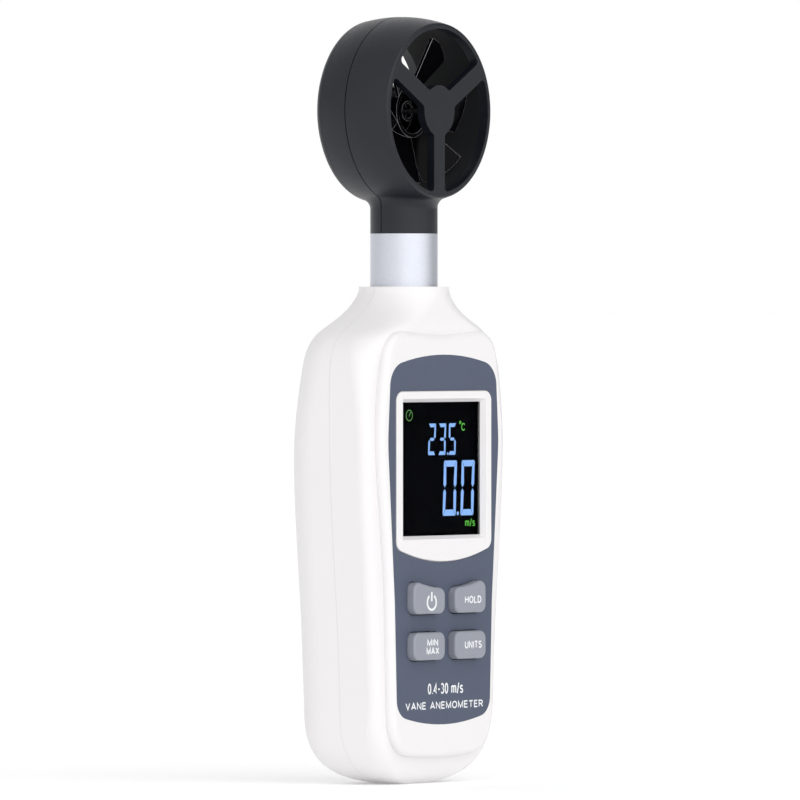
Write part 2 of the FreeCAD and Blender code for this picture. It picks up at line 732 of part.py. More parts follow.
def make_door(case, cavity):
    panel = common("door_panel", [cut("door_wall", case, [cavity]), door_prism("door")])
    hooks = []
    for side in (-1, 1):
        left, right = ((S.hook_inner, S.hook_outer) if side > 0 else
                       (-S.hook_outer, -S.hook_inner))
        hooks.append(slab("hook_tongue", left, right, S.hook_front, S.hook_back,
                          S.hook_bottom, S.hook_top))
        hooks.append(slab("hook_root", left, right, S.hook_back - S.lap,
                          S.back_flat - S.overlap, S.door_bottom, S.hook_top))
    grips = [slab("grip", -S.grip_wide, S.grip_wide, S.back_flat - S.grip_deep, S.far,
                  S.grip_bottom + S.grip_step * index,
                  S.grip_bottom + S.grip_step * index + S.grip_tall) for index in range(4)]
    door = cut("battery_cover", fuse("door_hooked", [panel] + hooks), grips)
    keep(door, "battery_cover")


def make_panel_pieces(overlay_bed):
    sheet_stock = slab("overlay_stock", -S.far, S.far, -S.slab_front,
                       -S.slab_front + S.overlay_thick, 0.0, S.far * 2)
    frame = front_prism("overlay_frame", bezel_outline, 0.0, S.far, bezel_corners(S.fit_gap),
                        grow=S.fit_gap)
    overlay = cut("overlay", common("overlay_sheet", [sheet_stock, overlay_bed]),
                  [frame] + key_prisms("_window"))
    keep(overlay, "panel_overlay")


def wrapped(label, solids, **place):
    """Keep free solids as one sub-part."""
    return keep(group(label, solids), label, **place)


# ---------------------------------------------------------------- keys, board and display

def make_key(label, side, upper):
    """Cap, flange that keeps it behind the panel, and the stem that meets the switch."""
    body = new_body(label)
    cap = new_sketch(body, "cap", "XZ_Plane", S.slab_front - S.skin - S.flange_gap)
    key_outline(cap, side, upper)
    pad(body, cap, S.key_front - S.slab_front + S.skin + S.flange_gap)
    body_fillet(body, S.key_corner, lambda edge: along(edge, "Y"))
    body_fillet(body, S.key_round, lambda edge: at_depth(edge, -S.key_front))
    flange = new_sketch(body, "flange", "XZ_Plane", S.slab_front - S.skin - S.flange_gap)
    inner, outer = (S.key_inner - S.flange_rim) * side, (S.key_outer + S.flange_rim) * side
    low = (S.upper_key_bottom if upper else S.lower_key_bottom) - S.flange_rim
    high = (S.upper_key_inner if upper else S.lower_key_top) + S.flange_rim
    draw_box(flange, inner, outer, low, high)
    pad(body, flange, S.key_flange, reverse=True)
    stem = new_sketch(body, "stem", "XZ_Plane", S.slab_front - S.skin - S.flange_gap)
    draw_circle(stem, S.stem_radius, *switch_place(side, upper))
    pad(body, stem, S.key_flange + S.stem_long, reverse=True)
    keep(body, label)


def switch_place(side, upper):
    middle = (S.key_inner + S.key_outer) * (0.5 * side)
    if upper:
        return middle, (S.upper_key_bottom + S.upper_key_inner) * 0.5
    return middle, (S.lower_key_bottom + S.lower_key_top) * 0.5


def make_switches():
    body = new_body("tact_switches")
    half = S.switch_wide * 0.5
    for side, upper in KEYS.values():
        x, z = switch_place(side, upper)
        case = new_sketch(body, "switch_case", "XZ_Plane", S.board_front)
        draw_box(case, x - half, x + half, z - half, z + half)
        pad(body, case, S.switch_tall)
        plunger = new_sketch(body, "plunger", "XZ_Plane", S.board_front)
        draw_circle(plunger, S.plunger_radius, x, z)
        pad(body, plunger, S.switch_tall + S.plunger_tall)
    keep(body, "tact_switches")


def make_plate(label, outline, front, thickness, round_edges=None):
    """Flat piece whose front face is at Y = -front."""
    body = new_body(label)
    sketch = new_sketch(body, "outline", "XZ_Plane", front)
    outline(sketch)
    pad(body, sketch, thickness, reverse=True)
    if round_edges is not None:
        body_fillet(body, round_edges, lambda edge: along(edge, "Y"))
    return body


def make_display():
    def lens(sketch):
        rim = S.window_rim
        draw_box(sketch, -S.screen_width - rim, S.screen_width + rim, S.screen_bottom - rim,
                 S.screen_top + rim)

    def cell(sketch, grow=0.0):
        rim = S.window_rim - S.lcd_step - grow
        draw_box(sketch, -S.screen_width - rim, S.screen_width + rim, S.screen_bottom - rim,
                 S.screen_top + rim)

    window = make_plate("display_window", lens, S.screen_front, S.window_thick, S.window_round)
    keep(window, "display_window")
    keep(make_plate("lcd_module", cell, S.lcd_front, S.lcd_front - S.lcd_back), "lcd_module")
    frame = make_plate("lcd_frame", cell, S.lcd_back, S.lcd_back - S.board_front)
    hole = new_sketch(frame, "hole", "XZ_Plane", S.lcd_back)
    cell(hole, S.frame_wall)
    pocket(frame, hole, S.lcd_back - S.board_front)
    keep(frame, "lcd_frame")
    strips = []
    half = S.screen_width - S.strip_side
    for z in (S.screen_bottom + S.strip_inset, S.screen_top - S.strip_inset - S.strip_tall):
        strips.append(slab("strip", -half, half, -S.lcd_back, -S.board_front, z,
                           z + S.strip_tall))
    wrapped("contact_strips", strips)


# Parts on the back of the board: X, Z, width, height and depth.
CHIPS = [
    (0.0, 62.0, 10.0, 10.0, 1.6), (-9.0, 74.0, 5.0, 4.0, 1.4), (8.5, 78.0, 3.2, 7.0, 1.2),
    (9.0, 60.0, 2.4, 1.4, 0.9), (-9.5, 58.0, 2.4, 1.4, 0.9), (6.0, 46.0, 3.0, 3.0, 1.2),
    (-6.0, 44.0, 6.0, 5.0, 1.5), (0.0, 30.0, 9.0, 9.0, 2.4),
]


def make_board():
    def outline(sketch):
        draw_rounded(sketch, -S.board_width, S.board_width, S.board_bottom, S.board_top,
                     S.board_corner)

    board = make_plate("main_board", outline, S.board_front, S.board_thick)
    keep(board, "main_board")
    back = -S.board_front + S.board_thick
    chips = []
    for x, z, wide, tall, deep in CHIPS:
        chips.append(slab("chip", x - wide / 2, x + wide / 2, back, back + deep,
                          z - tall / 2, z + tall / 2))
    wrapped("board_components", chips)
    socket = slab("socket", -S.socket_wide * 0.5, S.socket_wide * 0.5, back,
                  back + S.socket_deep, S.socket_bottom, S.socket_bottom + S.socket_tall)
    wrapped("lead_socket", [socket])
    wrapped("board_lead", [rod("board_lead_core", S.lead_radius,
                               S.socket_bottom + S.socket_tall, S.tube_bottom + S.lead_start)])


# ---------------------------------------------------------------- batteries

def make_tray():
    body = new_body("battery_tray")
    shell = new_sketch(body, "shell", "XZ_Plane", -S.tray_front)
    draw_rounded(shell, -S.tray_width, S.tray_width, S.tray_bottom, S.tray_top, S.tray_wall)
    pad(body, shell, S.tray_back - S.tray_front, reverse=True)
    room = new_sketch(body, "room", "XZ_Plane", -S.tray_front - S.tray_wall)
    inner = S.tray_width - S.tray_wall
    draw_box(room, -inner, inner, S.tray_bottom + S.tray_wall, S.tray_top - S.tray_wall)
    pocket(body, room, S.tray_back)
    for side in (-0.5, 0.5):
        rib = new_sketch(body, "rib", "XZ_Plane", -S.tray_front - S.tray_wall + S.lap)
        middle = S.cell_pitch * side
        draw_box(rib, middle - S.rib_half, middle + S.rib_half, S.tray_bottom + S.rib_inset,
                 S.tray_top - S.rib_inset)
        pad(body, rib, S.rib_tall, reverse=True)
    keep(body, "battery_tray")


def make_cell(label, lane, upward):
    body = new_body(label)
    can = new_sketch(body, "can", "XY_Plane")
    draw_circle(can, S.cell_radius)
    pad(body, can, S.cell_body)
    body_fillet(body, S.cell_round, lambda edge: edge.BoundBox.XLength > S.cell_radius.value)
    nub = new_sketch(body, "nub", "XY_Plane", S.cell_body)
    draw_circle(nub, S.nub_radius)
    pad(body, nub, S.cell_nub)
    base = S.cell_bottom
    if not upward:
        body.Placement = Placement(Vector(), Rotation(Vector(1, 0, 0), 180))
        base = S.tray_top + S.tray_bottom - S.cell_bottom
    keep(body, label, base=(S.cell_pitch * lane, S.cell_depth, base))


def make_contacts():
    plates, springs = [], []
    low, high = S.tray_bottom + S.tray_wall, S.tray_top - S.tray_wall - S.contact_thick
    for lane in (-1, 0, 1):
        x = S.cell_pitch * lane
        for z in (low, high):
            plates.append(slab("contact", x - S.contact_half, x + S.contact_half,
                               S.cell_depth - S.contact_half, S.cell_depth + S.contact_half,
                               z, z + S.contact_thick))
        down = lane == 0
        base = high if down else low + S.contact_thick
        springs.append(cone_spring(x, base, down))
    wrapped("battery_contacts", plates)
    wrapped("battery_springs", springs)


def cone_spring(x, z, down):
    """Closed cone in place of a coil, wide end on its contact."""
    solid = doc.addObject("Part::Cone", "spring_cone")
    bind(solid, "Radius1", S.spring_wide)
    bind(solid, "Radius2", S.spring_narrow)
    bind(solid, "Height", S.cell_bottom - S.tray_bottom - S.tray_wall - S.contact_thick)
    turn = Rotation(Vector(1, 0, 0), 180 if down else 0)
    solid.Placement = Placement(Vector(), turn)
    bind(solid, "Placement.Base.x", x)
    bind(solid, "Placement.Base.y", S.cell_depth)
    bind(solid, "Placement.Base.z", z)
    return solid


def make_screws():
    screws = []
    for x, z in SCREWS:
        head = rod("screw_head", S.screw_head, S.bore_floor,
                   S.bore_floor + S.screw_head_tall, "Y", x=x, z=z)
        shank = rod("screw_shank", S.pilot_radius - S.running_gap, -S.screw_tip, S.bore_floor,
                    "Y", x=x, z=z)
        slot = slab("screw_slot", S.bore_radius * -1 + x, S.bore_radius + x,
                    S.bore_floor + S.screw_head_tall * 0.5, S.far, z - S.screw_slot,
                    z + S.screw_slot)
        screws.append(cut("screw", fuse("screw_blank", [head, shank]), [slot]))
    wrapped("housing_screws", screws)


# ---------------------------------------------------------------- swivelling neck

def make_neck():
    body = new_body("neck_tube")
    wall = new_sketch(body, "wall", "XY_Plane", S.tube_bottom)
    draw_circle(wall, S.neck_radius)
    draw_circle(wall, S.tube_bore)
    pad(body, wall, S.tube_top - S.tube_bottom)
    seat = new_sketch(body, "clip_seat", "XY_Plane", S.clip_bottom)
    draw_circle(seat, S.neck_radius + S.overlap)
    draw_circle(seat, S.clip_seat)
    pocket(body, seat, S.clip_thick, reverse=True)
    lug = new_sketch(body, "stop_lug", "XY_Plane", S.stop_bottom)
    half = S.stop_wide * 0.5
    draw_box(lug, -half, half, S.stop_root, S.stop_reach)
    pad(body, lug, S.stop_tall)
    keep(body, "neck_tube")

    clip = new_body("retaining_clip")
    ring = new_sketch(clip, "ring", "XY_Plane", S.clip_bottom)
    draw_circle(ring, S.clip_radius)
    draw_circle(ring, S.clip_seat)
    pad(clip, ring, S.clip_thick)
    gap = new_sketch(clip, "gap", "XY_Plane", S.clip_bottom)
    draw_box(gap, -S.clip_gap * 0.5, S.clip_gap * 0.5, S.clip_seat - S.overlap,
             S.clip_radius + S.overlap)
    pocket(clip, gap, S.clip_thick, reverse=True)
    keep(clip, "retaining_clip")

    seal = doc.addObject("Part::Torus", "seal")
    bind(seal, "Radius1", S.neck_radius + S.running_gap + S.seal_round)
    bind(seal, "Radius2", S.seal_round)
    bind(seal, "Placement.Base.z", S.seal_height)
    wrapped("neck_seal", [seal])
    lead = rod("lead_core", S.lead_radius, S.tube_bottom + S.lead_start + S.lead_gap,
               S.lead_top)
    wrapped("sensor_lead", [lead])


# ---------------------------------------------------------------- duct head

def make_head_form():
    """Outside of the closed duct with its neck, before it is bored and parted."""
    body = new_body("head_form")
    outline = new_sketch(body, "outline", "YZ_Plane")
    draw(outline, [
        (S.head_back, 0.0), (S.head_back, S.back_radius),
        (S.back_shoulder, S.shoulder_radius, S.back_round, 1),
        (S.head_parting, S.crown_radius, S.crown_arc, 1),
        (-S.head_front, S.lip_radius, S.crown_arc, 1), (-S.head_front, 0.0),
    ])
    revolve(body, outline)
    body_fillet(body, S.lip_round, lambda edge: at_depth(edge, -S.head_front))
    neck = new_sketch(body, "neck", "XY_Plane", -S.neck_drop)
    draw_circle(neck, S.neck_radius)
    pad(body, neck, S.neck_drop - S.duct_radius + S.neck_sink)
    body_fillet(body, S.neck_flare, meets_duct)
    spigot = new_sketch(body, "spigot", "XY_Plane", -S.spigot_drop)
    draw_circle(spigot, S.spigot_radius - S.running_gap)
    pad(body, spigot, S.spigot_drop - S.neck_drop + S.overlap)
    return body


def meets_duct(edge):
    """True for the curve where the neck runs into the outside of the duct."""
    box = edge.BoundBox
    return (box.ZMax < -S.duct_radius.value and box.ZMin > -S.crown_radius.value - 0.1
            and box.XLength > S.neck_radius.value * 0.9 and box.YLength > 0.1)


def make_guard(name, front):
    """Three spokes, their hub and the boss that holds the rotor's bush.

    One spoke of the front guard points down, and one of the rear guard points up.
    """
    body = new_body(name)
    face = S.head_front if front else -S.head_back + S.guard_thick
    rim = new_sketch(body, "rim", "XZ_Plane", face)
    draw_circle(rim, S.duct_radius)
    draw_circle(rim, S.duct_radius + S.guard_root)
    pad(body, rim, S.guard_thick, reverse=True)
    hub = new_sketch(body, "hub", "XZ_Plane", face)
    draw_circle(hub, S.guard_hub)
    pad(body, hub, S.guard_thick, reverse=True)
    spoke = new_sketch(body, "spoke", "XZ_Plane", face)
    draw_box(spoke, -S.spoke_wide * 0.5, S.spoke_wide * 0.5, -S.duct_radius - S.guard_root * 0.5,
             -S.guard_hub + S.overlap)
    polar(body, pad(body, spoke, S.guard_thick, reverse=True), "Y_Axis", 3)
    body_fillet(body, S.guard_corner, lambda edge: spans(edge, "Y", S.guard_thick)
                and edge.Curve.TypeId == "Part::GeomLine"
                and is_corner(edge))
    inner_face = S.head_front - S.guard_thick if front else -S.head_back + S.guard_thick
    boss = new_sketch(body, "pivot_boss", "XZ_Plane", inner_face)
    draw_circle(boss, S.pivot_boss)
    pad(body, boss, S.pivot_boss_tall, reverse=front)
    seat = new_sketch(body, "bush_seat", "XZ_Plane", inner_face)
    draw_circle(seat, S.bush_radius)
    pocket(body, seat, S.pivot_boss_tall, reverse=not front)
    body.Placement = Placement(Vector(), Rotation(Vector(0, 1, 0), 0 if front else 180))
    return body


def is_corner(edge):
    """True where a spoke meets the rim or the hub."""
    reach = math.hypot(edge.BoundBox.XMin, edge.BoundBox.ZMin)
    return (abs(reach - S.duct_radius.value) < 0.3) or (abs(reach - S.guard_hub.value) < 0.3)


def probe(name, radius):
    """The air temperature probe, or the hole for it, in the floor of the duct."""
    return rod(name, radius, -S.probe_low, -S.probe_high, y=S.probe_depth)


def make_head_shell(label, front, form):
    """Half of the duct; the rear half has the tongue that fits inside the front one.

    The two halves meet on the rear half's lips, behind the groove of the seam.
    """
    bore = rod("duct_bore", S.duct_radius, -S.far, S.far, "Y")
    hollows = [bore, probe(label + "_probe_hole", S.probe_radius + S.running_gap),
               rod("neck_bore", S.neck_bore, -S.neck_drop - S.overlap, -S.neck_roof),
               rod("spigot_bore", S.spigot_bore, -S.far, -S.neck_drop)]
    gap = S.seam_wide * 0.5
    if front:
        tools = [everything("behind", S.head_parting - gap),
                 rod("tongue_room", S.tongue_radius, -S.inner_parting, S.far, "Y")]
        shell = cut(label + "_shell", form, hollows + tools)
    else:
        ring = cut("tongue", rod("tongue_outside", S.tongue_radius - S.tongue_gap,
                                 -S.inner_parting, S.head_parting + S.overlap, "Y"), [bore])
        half = cut("behind_half", form, [everything("ahead", None, S.head_parting + gap)])
        lip = common("neck_lip", [
            rod("neck_core", S.neck_radius - S.seam_deep, -S.neck_drop,
                -S.duct_radius - S.tongue_gap),
            everything("lip_depth", S.head_parting - gap, S.head_parting + S.overlap)])
        rim = rod("rim_lip", S.crown_radius - S.seam_deep, S.head_parting - gap,
                  S.head_parting + S.overlap, "Y")
        shell = cut(label + "_shell", fuse("rear_tongued", [half, ring, lip, rim]), hollows)
    keep(fuse(label, [shell, make_guard(label + "_guard", front)]), label, S.head_height)


def make_bushes():
    for label, front in (("front_bush", True), ("rear_bush", False)):
        body = new_body(label)
        inner = S.head_front - S.guard_thick if front else -S.head_back + S.guard_thick
        sketch = new_sketch(body, "bush", "XZ_Plane", inner)
        draw_circle(sketch, S.bush_radius)
        draw_circle(sketch, S.bush_bore)
        pad(body, sketch, S.pivot_boss_tall, reverse=front)
        keep(body, label, S.head_height)


def make_sensors():
    board = new_body("pulse_sensor_board")
    sketch = new_sketch(board, "card", "XZ_Plane", -S.card_front)
    draw_box(sketch, -S.card_half, S.card_half, -S.card_drop, -S.neck_roof - S.card_gap)
    pad(board, sketch, S.card_thick, reverse=True)
    keep(board, "pulse_sensor_board", S.head_height)
    chip = slab("hall_chip", -S.chip_half, S.chip_half, S.chip_front, S.card_front,
                -S.chip_low, -S.chip_high)
    wrapped("pulse_sensor", [chip], height=S.head_height)
    tip = rounded("probe_tip", probe("probe_stem", S.probe_radius), [
        (S.probe_round, lambda edge: edge.BoundBox.ZMin > -S.probe_high.value - 0.01)])
    wrapped("temperature_sensor", [tip], height=S.head_height)


# ---------------------------------------------------------------- rotor

def make_rotor():
    body = new_body("impeller")
    hub = new_sketch(body, "hub", "YZ_Plane")
    draw(hub, [
        (S.boss_floor, S.shaft_radius), (S.boss_floor, S.boss_recess),
        (-S.boss_front, S.boss_recess), (-S.boss_front, S.rotor_boss),
        (S.web_front, S.rotor_boss), (S.web_front, S.rotor_lip), (-S.rotor_front, S.rotor_lip),
        (-S.rotor_front, S.rotor_hub), (S.rotor_back, S.rotor_hub), (S.rotor_back, S.rotor_lip),
        (S.web_back, S.rotor_lip), (S.web_back, S.shaft_radius),
    ])
    revolve(body, hub)
    blade = body_loft(body, [blade_section(body, *row) for row in BLADE_SECTIONS])
    polar(body, blade, "Y_Axis", BLADE_COUNT)
    trim = new_sketch(body, "tip_circle", "XZ_Plane")
    draw_circle(trim, S.rotor_radius)
    draw_circle(trim, S.tip_trim)
    pocket(body, trim, S.far, midplane=True)
    body.Placement = Placement(Vector(), Rotation(Vector(0, 1, 0), S.blade_lead.value * -1))
    keep(body, "impeller", S.head_height)


BLADE_COUNT = 6
# Blade sections: distance from the axis, then the leading and the trailing edge, each as how
# far along the direction of travel and along the duct it lies.
BLADE_SECTIONS = [
    (5.3, (-2.4, -1.9), (2.8, 1.4)),
    (17.4, (-5.6, -6.7), (6.2, -2.8)),
]


def blade_section(body, distance, lead, trail):
    sketch = new_sketch(body, "blade", "XY_Plane", distance)
    lead, trail = Vector(*lead, 0), Vector(*trail, 0)
    chord = (trail - lead).normalize()
    side = Vector(-chord.y, chord.x, 0) * (S.blade_thick.value / 2)
    corners = [lead - side, trail - side, trail + side, lead + side]
    draw(sketch, [(spot.x, spot.y) for spot in corners])
    return sketch


def make_shaft():
    body = new_body("rotor_shaft")
    sketch = new_sketch(body, "shaft", "XZ_Plane", S.shaft_front)
    draw_circle(sketch, S.shaft_radius)
    pad(body, sketch, S.shaft_front + S.shaft_back, reverse=True)
    keep(body, "rotor_shaft", S.head_height)
    magnet = new_body("rotor_magnet")
    sketch = new_sketch(magnet, "ring", "XZ_Plane", -S.web_back)
    draw_circle(sketch, S.rotor_lip - S.running_gap)
    draw_circle(sketch, S.magnet_bore)
    pad(magnet, sketch, S.magnet_thick, reverse=True)
    keep(magnet, "rotor_magnet", S.head_height)


# ---------------------------------------------------------------- the whole object

overlay_bed = make_case_covers()
make_panel_pieces(overlay_bed)
for label, (side, upper) in KEYS.items():
    make_key(label, side, upper)
make_switches()
make_display()
make_board()
make_tray()
for label, lane, upward in (("battery_left", -1, True), ("battery_middle", 0, False),
                            ("battery_right", 1, True)):
    make_cell(label, lane, upward)
make_contacts()
make_screws()
make_neck()
head_form = make_head_form()
make_head_shell("head_front_shell", True, head_form)
make_head_shell("head_rear_shell", False, head_form)
make_bushes()
make_sensors()
make_rotor()
make_shaft()

doc.recompute()
broken = [item.Name for item in doc.Objects
          if "Invalid" in item.State or "Error" in item.State]
broken += [item.Label for item in subparts if item.Shape.isNull() or not item.Shape.isValid()]
if broken:
    sys.exit("failed: " + ", ".join(broken))

os.makedirs("parts", exist_ok=True)
for item in subparts:
    item.Shape.exportStep(os.path.join("parts", item.Label + ".step"))
    box = item.Shape.BoundBox
    print("%-20s solids %d  volume %9.2f  X %7.2f %7.2f  Y %7.2f %7.2f  Z %7.2f %7.2f" % (
        item.Label, len(item.Shape.Solids), item.Shape.Volume, box.XMin, box.XMax, box.YMin,
        box.YMax, box.ZMin, box.ZMax))
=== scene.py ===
import json
import math

import bmesh
import bpy
from mathutils import Matrix, Vector


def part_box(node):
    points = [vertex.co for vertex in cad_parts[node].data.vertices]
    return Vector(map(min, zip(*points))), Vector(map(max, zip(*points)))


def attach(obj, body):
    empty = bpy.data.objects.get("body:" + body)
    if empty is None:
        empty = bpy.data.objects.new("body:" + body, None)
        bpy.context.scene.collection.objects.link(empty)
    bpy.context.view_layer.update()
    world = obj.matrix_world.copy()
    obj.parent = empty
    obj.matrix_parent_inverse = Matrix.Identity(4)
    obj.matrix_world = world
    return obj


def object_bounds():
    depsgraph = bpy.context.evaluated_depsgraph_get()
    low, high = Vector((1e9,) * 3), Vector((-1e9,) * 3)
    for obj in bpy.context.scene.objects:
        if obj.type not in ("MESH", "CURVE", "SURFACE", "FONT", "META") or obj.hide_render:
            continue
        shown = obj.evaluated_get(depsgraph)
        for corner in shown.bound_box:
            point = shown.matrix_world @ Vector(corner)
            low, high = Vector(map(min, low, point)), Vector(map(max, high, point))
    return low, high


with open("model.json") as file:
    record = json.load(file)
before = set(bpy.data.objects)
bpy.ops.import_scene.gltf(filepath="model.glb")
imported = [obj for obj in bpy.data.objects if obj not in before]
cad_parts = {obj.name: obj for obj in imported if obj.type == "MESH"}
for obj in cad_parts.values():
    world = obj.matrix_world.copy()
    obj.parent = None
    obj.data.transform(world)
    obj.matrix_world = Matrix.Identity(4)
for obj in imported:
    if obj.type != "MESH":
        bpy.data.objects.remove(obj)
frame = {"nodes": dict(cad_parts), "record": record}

# The looks of a handheld vane anemometer, in metres, in the CAD part's own frame: +Z up the case,
# the display towards -Y. Every place is worked out from the CAD nodes' boxes.

CAD_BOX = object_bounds()
MM = 0.001
scene = bpy.context.scene
nodes = frame["nodes"]


# ---------------------------------------------------------------- materials

class Nodes:
    """A material's node tree with its principled shader, and short ways to add to it."""

    def __init__(self, name, **values):
        self.material = bpy.data.materials.new(name)
        self.material.use_nodes = True
        self.tree = self.material.node_tree
        self.shader = self.tree.nodes["Principled BSDF"]
        self.place = self.tree.nodes.new("ShaderNodeTexCoord").outputs["Object"]
        for socket, value in values.items():
            self.shader.inputs[socket.replace("_", " ")].default_value = value

    def add(self, kind, inputs=(), **settings):
        node = self.tree.nodes.new(kind)
        for key, value in settings.items():
            setattr(node, key, value)
        for socket, value in dict(inputs).items():
            if isinstance(value, bpy.types.NodeSocket):
                self.tree.links.new(value, node.inputs[socket])
            else:
                node.inputs[socket].default_value = value
        return node

    def noise(self, size, detail=2.0, roughness=0.5, stretch=(1, 1, 1)):
        """Noise whose features are about size metres across, narrower where stretch is more."""
        scaled = self.add("ShaderNodeMapping", {"Vector": self.place, "Scale": stretch})
        return self.add("ShaderNodeTexNoise", {
            "Vector": scaled.outputs["Vector"], "Scale": 1 / size, "Detail": detail,
            "Roughness": roughness}).outputs["Fac"]

    def remap(self, value, low, high):
        """Stretch the middle of a noise to the range from low to high."""
        return self.add("ShaderNodeMapRange", {
            "Value": value, "From Min": 0.3, "From Max": 0.7, "To Min": low,
            "To Max": high}).outputs["Result"]

    def vary_colour(self, first, second, factor):
        first, second = tuple(first), tuple(second)
        mix = self.add("ShaderNodeMix", {"Factor": factor}, data_type="RGBA")
        mix.inputs["A"].default_value = (*first, 1)
        mix.inputs["B"].default_value = (*second, 1)
        self.tree.links.new(mix.outputs["Result"], self.shader.inputs["Base Color"])
        return mix.outputs["Result"]

    def vary_roughness(self, factor, low, high):
        self.tree.links.new(self.remap(factor, low, high), self.shader.inputs["Roughness"])

    def bump(self, height, depth, strength=1.0):
        """Bump of that depth in metres; a second call adds to the first."""
        normal = self.shader.inputs["Normal"]
        inputs = {"Height": height, "Distance": depth, "Strength": strength}
        if normal.links:
            inputs["Normal"] = normal.links[0].from_socket
        node = self.add("ShaderNodeBump", inputs)
        self.tree.links.new(node.outputs["Normal"], normal)


DRIFT_SIZE = 14 * MM    # slow drifts in a plastic's colour
GLOSS_SIZE = 2.5 * MM   # patches where its gloss differs


def shade(colour, factor):
    return tuple(channel * factor for channel in colour)


def moulded(name, colour, roughness, grain, depth, shine=0.5):
    """Moulded plastic: a fine spark-eroded grain, with slow drifts in colour and gloss."""
    look = Nodes(name, Roughness=roughness, Specular_IOR_Level=shine)
    slow = look.noise(DRIFT_SIZE, 3)
    look.vary_colour(shade(colour, 0.96), shade(colour, 1.04), slow)
    look.vary_roughness(look.noise(GLOSS_SIZE, 4), roughness - 0.05, roughness + 0.05)
    look.bump(look.noise(grain, 3, 0.6), depth)
    return look.material


def metal(name, colour, roughness, grain, depth):
    """Bare metal with a fine uneven finish."""
    look = Nodes(name, Metallic=1.0, Roughness=roughness)
    fine = look.noise(grain, 4, 0.65)
    look.vary_colour(shade(colour, 0.9), shade(colour, 1.06), fine)
    look.vary_roughness(fine, roughness - 0.08, roughness + 0.1)
    look.bump(fine, depth)
    return look.material


def anodised(name):
    """Bead-blasted aluminium under a clear anodised skin: bright, with a fine sparkle."""
    look = Nodes(name, Metallic=1.0)
    beads = look.noise(0.16 * MM, 3, 0.7)
    pits = look.add("ShaderNodeTexVoronoi", {"Vector": look.place, "Scale": 1 / (0.22 * MM)},
                    feature="F1").outputs["Distance"]
    look.vary_colour((0.54, 0.56, 0.62), (0.72, 0.74, 0.80), look.remap(beads, 0, 1))
    look.vary_roughness(beads, 0.36, 0.5)
    look.bump(beads, 0.014 * MM, 0.7)
    look.bump(pits, 0.01 * MM, 0.5)
    return look.material


def case_plastic(name, colour, seam_y):
    """The casing's plastic, with the hairline where its two halves meet."""
    look = Nodes(name, Roughness=0.42)
    slow = look.noise(16 * MM, 3)
    warm, cool = (1.004, 1.0, 0.99), (0.985, 0.985, 1.0)
    tone = look.vary_colour(Vector(colour) * Vector(warm), Vector(colour) * Vector(cool), slow)
    depth = look.add("ShaderNodeSeparateXYZ", {"Vector": look.place}).outputs["Y"]
    away = look.add("ShaderNodeMath", {0: depth, 1: seam_y}, operation="SUBTRACT").outputs[0]
    away = look.add("ShaderNodeMath", {0: away}, operation="ABSOLUTE").outputs[0]
    open_face = look.add("ShaderNodeMapRange", {
        "Value": away, "From Min": 0.05 * MM, "From Max": 0.13 * MM}).outputs["Result"]
    seamed = look.add("ShaderNodeMix", {"Factor": open_face}, data_type="RGBA")
    seamed.inputs["A"].default_value = (*shade(colour, 0.9), 1)
    look.tree.links.new(tone, seamed.inputs["B"])
    look.tree.links.new(seamed.outputs["Result"], look.shader.inputs["Base Color"])
    look.vary_roughness(look.noise(GLOSS_SIZE, 4), 0.37, 0.47)
    look.bump(look.noise(0.25 * MM, 3, 0.6), 0.004 * MM)
    look.bump(open_face, 0.03 * MM)
    return look.material


def head_plastic(name, colour, roughness, middle, radius, half_depth):
    """Black moulding: coarse spark-eroded grain outside, and dull in the bore, whose colour is
    darkened there as painted shade.

    The bore is everything within radius of the duct's axis and half_depth of its middle.
    """
    look = Nodes(name, Specular_IOR_Level=0.4, Specular_Tint=(0.95, 0.97, 1.0, 1.0))
    local = look.add("ShaderNodeVectorMath", {0: look.place, 1: middle},
                     operation="SUBTRACT").outputs["Vector"]
    flat = look.add("ShaderNodeVectorMath", {0: local, 1: (1, 0, 1)},
                    operation="MULTIPLY").outputs["Vector"]
    reach = look.add("ShaderNodeVectorMath", {0: flat}, operation="LENGTH").outputs["Value"]
    depth = look.add("ShaderNodeSeparateXYZ", {"Vector": local}).outputs["Y"]
    depth = look.add("ShaderNodeMath", {0: depth}, operation="ABSOLUTE").outputs[0]
    outside = [look.add("ShaderNodeMapRange", {
        "Value": value, "From Min": edge, "From Max": edge + 0.05 * MM}).outputs["Result"]
        for value, edge in ((reach, radius), (depth, half_depth))]
    outside = look.add("ShaderNodeMath", dict(enumerate(outside)),
                       operation="MAXIMUM").outputs[0]
    slow = look.noise(DRIFT_SIZE, 3)
    tone = look.vary_colour(shade(colour, 0.92), shade(colour, 1.08), slow)
    # In the bore the colour drops to a quarter of the plastic's: painted shade inside the duct.
    bore_painted_shade = look.add("ShaderNodeMix", {"Factor": outside}, data_type="RGBA")
    bore_painted_shade.inputs["A"].default_value = (*shade(colour, 0.25), 1)
    look.tree.links.new(tone, bore_painted_shade.inputs["B"])
    look.tree.links.new(bore_painted_shade.outputs["Result"], look.shader.inputs["Base Color"])
    grain = look.noise(0.36 * MM, 3, 0.65)
    grained = look.remap(grain, roughness - 0.07, roughness + 0.07)
    rough = look.add("ShaderNodeMix", {"Factor": outside}, data_type="FLOAT")
    rough.inputs["A"].default_value = 0.8
    look.tree.links.new(grained, rough.inputs["B"])
    look.tree.links.new(rough.outputs["Result"], look.shader.inputs["Roughness"])
    raised = look.add("ShaderNodeMath", {0: grain, 1: outside}, operation="MULTIPLY").outputs[0]
    look.bump(raised, 0.06 * MM)
    return look.material


def printed(name, colour):
    """Screen-printed ink: nearly flat, with faint thin spots."""
    look = Nodes(name, Roughness=0.5)
    patch = look.noise(0.3 * MM, 3)
    look.vary_colour(shade(colour, 0.9), colour, look.remap(patch, 0, 1))
    look.bump(look.noise(0.12 * MM, 2), 0.002 * MM)
    return look.material


